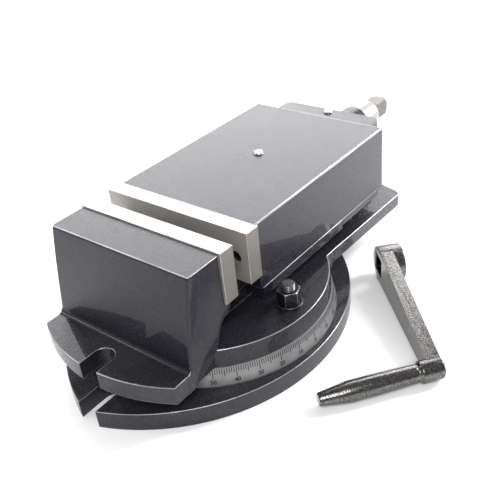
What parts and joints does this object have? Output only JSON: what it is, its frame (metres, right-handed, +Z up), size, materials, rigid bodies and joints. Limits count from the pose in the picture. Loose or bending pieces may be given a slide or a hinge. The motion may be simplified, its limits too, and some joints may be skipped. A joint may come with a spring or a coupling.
{
  "type": "machine vise",
  "caption": "Machinist's milling vise on a graduated swivel base, with a screw-driven sliding jaw, flat jaw plates and a loose crank handle.",
  "frame": {"origin": "swivel axis on the underside of the base, where it meets the machine table", "axes": "+X across the jaws, +Y along the slide from the fixed jaw to the screw end, +Z up"},
  "size_m": [0.3496, 0.4921, 0.1418],
  "materials": {
    "black_enamel": "gloss black enamel over cast iron",
    "scale_silver": "turned bright band",
    "ground_steel": "surface ground, hardened",
    "plain_steel": "machined",
    "bright_steel": "polished",
    "black_oxide": "black oxide",
    "bronze": "cast bronze, machined",
    "satin_chrome": "cast, satin plated"
  },
  "bodies": {
    "base": {"swivel_base": "black_enamel", "scale_ring": "scale_silver", "centre_pivot": "plain_steel"},
    "bed_body": {"bed": "black_enamel", "fixed_jaw_plate": "ground_steel", "fixed_plate_screws": "black_oxide", "t_bolts": "plain_steel", "clamp_washers": "black_oxide", "screw_nut": "bronze", "nut_screws": "black_oxide"},
    "nut_right": {"clamp_nut_right": "black_oxide"},
    "nut_left": {"clamp_nut_left": "black_oxide"},
    "sliding_jaw": {"movable_jaw": "black_enamel", "movable_jaw_plate": "ground_steel", "movable_plate_screws": "black_oxide", "keeper_right": "black_enamel", "keeper_left": "black_enamel", "rear_keeper_right": "black_enamel", "rear_keeper_left": "black_enamel", "keeper_screws": "black_oxide", "rear_housing": "black_enamel", "housing_screws": "black_oxide", "front_oiler": "bright_steel", "rear_oiler": "bright_steel", "thrust_race_fixed": "plain_steel", "thrust_balls": "plain_steel"},
    "screw": {"thrust_race_turning": "plain_steel", "lead_screw": "plain_steel", "screw_collar": "bright_steel", "collar_set_screw": "black_oxide"},
    "handle": {"crank_handle": "satin_chrome"}
  },
  "joints": [
    {"name": "swivel", "type": "hinge", "parent": "base", "child": "bed_body", "pos_m": [0, 0, 0.03515], "axis": [0, 0, 1], "continuous": true},
    {"name": "nut_right_turn", "type": "hinge", "parent": "bed_body", "child": "nut_right", "pos_m": [0.092, 0, 0.0619], "axis": [0, 0, 1], "range_deg": [-90, 90]},
    {"name": "nut_left_turn", "type": "hinge", "parent": "bed_body", "child": "nut_left", "pos_m": [-0.092, 0, 0.0619], "axis": [0, 0, 1], "range_deg": [-90, 90]},
    {"name": "jaw_slide", "type": "slide", "parent": "bed_body", "child": "sliding_jaw", "axis": [0, 1, 0], "range_m": [-0.017, 0.108]},
    {"name": "screw_turn", "type": "hinge", "parent": "sliding_jaw", "child": "screw", "pos_m": [0, 0.28, 0.1], "axis": [0, 1, 0], "range_deg": [-1244, 7796]},
    {"name": "handle_lift", "type": "slide", "parent": "base", "child": "handle", "axis": [0, 0, 1], "range_m": [0, 0.1]}
  ],
  "couplings": [
    {"joint": "screw_turn", "follows": "jaw_slide", "rad_per_m": 1256.6}
  ]
}
